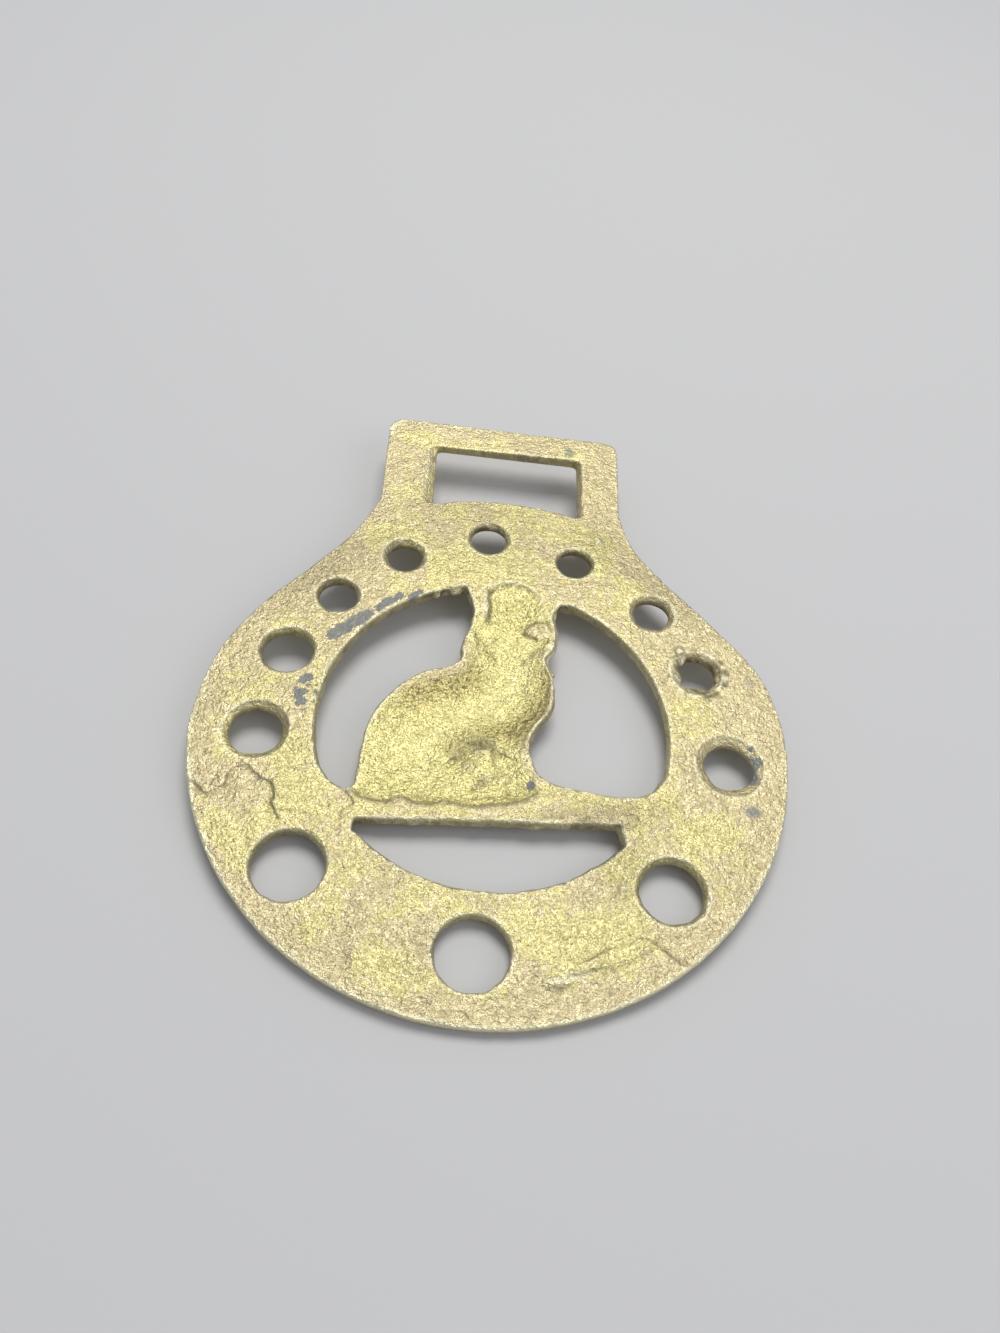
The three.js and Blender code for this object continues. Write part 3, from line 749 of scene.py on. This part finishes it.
# Raised pads and rims of the hollow that are as tan as the plate
PADS = [
    (1, -1.8, 19.6, 2.8, 0.7, 90, 0.2),
    (1, 5.8, 15.7, 1.9, 1.3, -12, 0.2),
    (1, [(7.2, 15.6), (7.6, 14.3), (7.2, 12.6), (5.9, 11.5)], 0.6),
    (0.85, [(7.6, 9.2), (7.8, 6.6), (7.2, 3.8), (5.9, 1.4), (4.6, -1.4), (4.2, -3.4), (4.8, -5.8)], 1.0),
    (0.8, [(-12.2, 5.4), (-9.0, 6.8), (-6.0, 7.6), (-4.2, 9.8), (-3.9, 12.8)], 0.9),
    (0.9, -1.4, -3.75, 1.1, 0.4, -4, 0.3),
    (0.8, -3.0, -5.8, 0.95, 0.6, -45, 0.4),
    (0.5, -4.9, -2.2, 0.7, 0.5, 0, 0.5),
    (0.6, [(-1.6, -8.6), (-0.2, -8.0), (1.0, -7.6), (2.2, -7.4)], 0.4),
]
pads = np.clip(at_points(np.maximum.reduce(list(each_mark(PADS)))), 0, 1)

# Where the brass is yellower than the tan of the outer rim
gold = 0.62 - 0.75 * np.exp(-np.maximum(outer, 0) / 3.2)
for *place, amount in YELLOW_PLACES:
    gold += amount * oval_mark(*place, 0.7)
gold = np.clip(at_points(gold) - 0.6 * pads, 0, 1)
darker = np.full(X.shape, DARKNESS)
for *place, amount in DARKER_PLACES:
    darker += amount * oval_mark(*place, 0.8)
darker = np.clip(at_points(darker), 0, DARKEST)

# What the finish reads at each point
attributes = {
    "gold": gold, "brown_and_shade": brown_and_shade, "wear_and_highlight": wear_and_highlight, "shade_and_dirt": shade_and_dirt, "hollow": in_hollow * (1 - 0.85 * pads),
    "grey": grey, "dots": dots, "hollow_highlight": hollow_highlight, "darker": darker,
}

c, s = math.cos(REST_TILT), math.sin(REST_TILT)
placed = plate @ np.array([[1, 0, 0], [0, c, s], [0, -s, c]]) + PLATE_ORIGIN
mesh.vertices.foreach_set("co", (placed / 1000).ravel())
for name, values in attributes.items():
    layer = mesh.attributes.new(name, "FLOAT", "POINT")
    layer.data.foreach_set("value", values.astype(np.float32))
mesh.shade_smooth()
brass = bpy.data.objects.new("horse_brass_cast", mesh)
bpy.context.scene.collection.objects.link(brass)


# The finish: rough cast brass, yellower in the hollow with a painted highlight on its lit band, painted
# shade with brown specks on its steeper walls, and painted shade with some dirt in its lines
TAN = (0.60, 0.51, 0.29)
TAN_PALE = (0.75, 0.66, 0.42)
YELLOW = (0.92, 0.87, 0.43)
YELLOW_DEEP = (0.60, 0.51, 0.19)
# Dark olive for specks, and for dirt with painted shade
OLIVE = (0.13, 0.105, 0.035)
GREY = (0.27, 0.27, 0.25)
SHADE = (0.40, 0.32, 0.13)
BROWN = (0.21, 0.145, 0.045)
HOLLOW_HIGHLIGHT_COLOUR = (0.97, 0.93, 0.52)
DOT_GREY = (0.22, 0.235, 0.24)
PALE_WEAR_AND_HIGHLIGHT = (0.92, 0.87, 0.62)
BLACK = (0.0, 0.0, 0.0)
SMOOTHEST = 0.42
ROUGHEST = 0.6
BUMP_DEPTH = 0.00042

material = bpy.data.materials.new("aged_brass")
material.use_nodes = True
tree = material.node_tree
tree.nodes.clear()
coordinates = tree.nodes.new("ShaderNodeTexCoord")


def node(kind, **settings):
    made = tree.nodes.new(kind)
    for key, value in settings.items():
        setattr(made, key, value)
    return made


def join(source, target):
    tree.links.new(source, target)


def attribute(name):
    return node("ShaderNodeAttribute", attribute_name=name).outputs["Fac"]


def noise(scale, detail=2.0, roughness=0.5, offset=0.0):
    made = node("ShaderNodeTexNoise")
    made.inputs["Scale"].default_value = scale
    made.inputs["Detail"].default_value = detail
    made.inputs["Roughness"].default_value = roughness
    shifted = node("ShaderNodeMapping")
    shifted.inputs["Location"].default_value = (offset, offset, offset)
    join(coordinates.outputs["Object"], shifted.inputs["Vector"])
    join(shifted.outputs["Vector"], made.inputs["Vector"])
    return made.outputs["Fac"]


def ranged(value, low, high, to_low=0.0, to_high=1.0):
    made = node("ShaderNodeMapRange", interpolation_type="SMOOTHSTEP")
    join(value, made.inputs["Value"])
    for key, number in (("From Min", low), ("From Max", high), ("To Min", to_low), ("To Max", to_high)):
        made.inputs[key].default_value = number
    return made.outputs["Result"]


def calc(operation, a, b):
    made = node("ShaderNodeMath", operation=operation, use_clamp=operation != "SUBTRACT")
    for socket, value in zip(made.inputs, (a, b)):
        if isinstance(value, (int, float)):
            socket.default_value = value
        else:
            join(value, socket)
    return made.outputs[0]


def blend_colour(share, a, b):
    made = node("ShaderNodeMix", data_type="RGBA")
    join(share, made.inputs["Factor"])
    for socket, value in ((made.inputs[6], a), (made.inputs[7], b)):
        if isinstance(value, tuple):
            socket.default_value = (*value, 1)
        else:
            join(value, socket)
    return made.outputs[2]


grain_small = noise(2400, 2.0, 0.6)
grain_fine = noise(4000, 2.0, 0.6, 5.0)
grain_wide = noise(1300, 3.0, 0.6, 3.0)
cloud = noise(150, 5.0, 0.6, 7.0)
speck = noise(3600, 2.0, 0.5, 11.0)
patches = calc("ADD", calc("MULTIPLY", grain_wide, 0.3), calc("MULTIPLY", cloud, 0.7))
patches = calc("ADD", patches, calc("MULTIPLY", attribute("gold"), 0.16))
gold_patches = ranged(patches, 0.56, 0.64)
plate_colour = blend_colour(ranged(grain_small, 0.34, 0.66), TAN, TAN_PALE)
gold_colour = blend_colour(ranged(grain_fine, 0.38, 0.58), YELLOW_DEEP, YELLOW)
gold_share = calc(
    "MAXIMUM", calc("MULTIPLY", gold_patches, 0.72), calc("MULTIPLY", attribute("hollow"), 0.95)
)
colour = blend_colour(gold_share, plate_colour, gold_colour)
# Painted highlight on the hollow's lit band
colour = blend_colour(calc("MULTIPLY", attribute("hollow_highlight"), 0.15), colour, HOLLOW_HIGHLIGHT_COLOUR)
speck_strength = calc("ADD", calc("MULTIPLY", attribute("hollow"), 0.4), 0.3)
speck_strength = calc("SUBTRACT", speck_strength, calc("MULTIPLY", attribute("hollow_highlight"), 0.25))
dark_specks = calc("MULTIPLY", ranged(speck, 0.59, 0.68), calc("MAXIMUM", speck_strength, 0.0))
colour = blend_colour(dark_specks, colour, OLIVE)
speckle = calc("MULTIPLY", ranged(speck, 0.46, 0.58), ranged(grain_wide, 0.62, 0.42))
# Painted shade on the hollow's steeper walls, in streaks, then brown specks in it
wall_shade_streaks = calc("MULTIPLY", attribute("brown_and_shade"), ranged(grain_wide, 0.3, 0.62, 0.75, 0.2))
colour = blend_colour(wall_shade_streaks, colour, SHADE)
colour = blend_colour(calc("MULTIPLY", speckle, attribute("brown_and_shade")), colour, BROWN)
# Painted shade and some dirt, as dark olive
shade_and_dirt_share = calc("MULTIPLY", attribute("shade_and_dirt"), ranged(grain_wide, 0.2, 0.6, 0.55, 1.0))
colour = blend_colour(calc("MULTIPLY", shade_and_dirt_share, 0.85), colour, OLIVE)
# Wear, and painted highlights on rims and edges, as pale brass
colour = blend_colour(calc("MULTIPLY", attribute("wear_and_highlight"), 0.8), colour, PALE_WEAR_AND_HIGHLIGHT)
smear = calc("ADD", calc("MULTIPLY", attribute("grey"), 0.7), calc("MULTIPLY", grain_wide, 0.6))
grey_share = ranged(smear, 0.56, 0.72)
colour = blend_colour(grey_share, colour, GREY)
colour = blend_colour(calc("MULTIPLY", attribute("dots"), 0.85), colour, DOT_GREY)
# Darker and paler places: partly painted shade and painted light, partly darker brown tone
colour = blend_colour(attribute("darker"), colour, BLACK)

shader = node("ShaderNodeBsdfPrincipled")
out = node("ShaderNodeOutputMaterial")
join(colour, shader.inputs["Base Color"])
dull = calc("MAXIMUM", calc("MAXIMUM", grey_share, shade_and_dirt_share), attribute("dots"))
join(calc("SUBTRACT", 1.0, calc("MULTIPLY", dull, 0.6)), shader.inputs["Metallic"])
join(ranged(grain_wide, 0.3, 0.7, SMOOTHEST, ROUGHEST), shader.inputs["Roughness"])
height = calc("ADD", calc("MULTIPLY", grain_small, 0.5), calc("MULTIPLY", grain_wide, 0.5))
bump = node("ShaderNodeBump")
bump.inputs["Strength"].default_value = 1.0
bump.inputs["Distance"].default_value = BUMP_DEPTH
join(height, bump.inputs["Height"])
join(bump.outputs["Normal"], shader.inputs["Normal"])
join(shader.outputs["BSDF"], out.inputs["Surface"])
mesh.materials.append(material)

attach(brass, "root")
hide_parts("horse_brass")

# The studio, in metres, watts and colours: floor, lights and world
HALF_FLOOR = 3.0
FLOOR_COLOUR = (0.58, 0.58, 0.59, 1)
FLOOR_ROUGHNESS = 0.75
KEY_LIGHT = {"at": (0.03, 0.26, 0.70), "size": 0.45, "power": 3.55, "colour": (1.0, 0.985, 0.93)}
FILL_LIGHT = {"at": (0.5, -0.3, 0.5), "size": 0.5, "power": 0.8, "colour": (1, 1, 1)}
WORLD_COLOUR = (0.9, 0.93, 1.0, 1)
WORLD_STRENGTH = 0.42

floor_mesh = bpy.data.meshes.new("floor")
floor_corners = [(x * HALF_FLOOR, y * HALF_FLOOR, 0) for x, y in ((-1, -1), (1, -1), (1, 1), (-1, 1))]
floor_mesh.from_pydata(floor_corners, [], [(0, 1, 2, 3)])
floor = bpy.data.objects.new("floor", floor_mesh)
bpy.context.scene.collection.objects.link(floor)
floor_material = bpy.data.materials.new("pale_floor")
floor_material.use_nodes = True
floor_shader = floor_material.node_tree.nodes["Principled BSDF"]
floor_shader.inputs["Base Color"].default_value = FLOOR_COLOUR
floor_shader.inputs["Roughness"].default_value = FLOOR_ROUGHNESS
floor_mesh.materials.append(floor_material)


def area_light(name, at, size, power, colour):
    """A round soft light that is aimed at the middle of the floor."""
    data = bpy.data.lights.new(name, "AREA")
    data.shape = "DISK"
    data.size = size
    data.energy = power
    data.color = colour
    lamp = bpy.data.objects.new(name, data)
    lamp.location = at
    lamp.rotation_euler = (-Vector(at)).to_track_quat("-Z", "Y").to_euler()
    bpy.context.scene.collection.objects.link(lamp)


area_light("key", **KEY_LIGHT)
area_light("fill", **FILL_LIGHT)
world = bpy.data.worlds.new("studio")
bpy.context.scene.world = world
world.use_nodes = True
world.node_tree.nodes["Background"].inputs["Color"].default_value = WORLD_COLOUR
world.node_tree.nodes["Background"].inputs["Strength"].default_value = WORLD_STRENGTH

# The camera stands where the photograph's stood, measured from the photograph's perspective.
# Its place is in metres, its turn in degrees and its lens in millimetres.
CAMERA_PLACE = (-0.00679494, -0.08248337, 0.10821412)
CAMERA_TURN = (38.37553523, -5.11062501, 1.31596524)
SENSOR_WIDTH = 36
FOCAL_LENGTH = 27.007
NEAREST_SEEN = 0.005
FARTHEST_SEEN = 50

camera_data = bpy.data.cameras.new("camera")
camera = bpy.data.objects.new("camera", camera_data)
camera.location = CAMERA_PLACE
camera.rotation_euler = [math.radians(a) for a in CAMERA_TURN]
camera_data.sensor_width = SENSOR_WIDTH
camera_data.lens = FOCAL_LENGTH
camera_data.clip_start = NEAREST_SEEN
camera_data.clip_end = FARTHEST_SEEN
bpy.context.scene.collection.objects.link(camera)
bpy.context.scene.camera = camera
bpy.context.scene.view_settings.view_transform = "Standard"
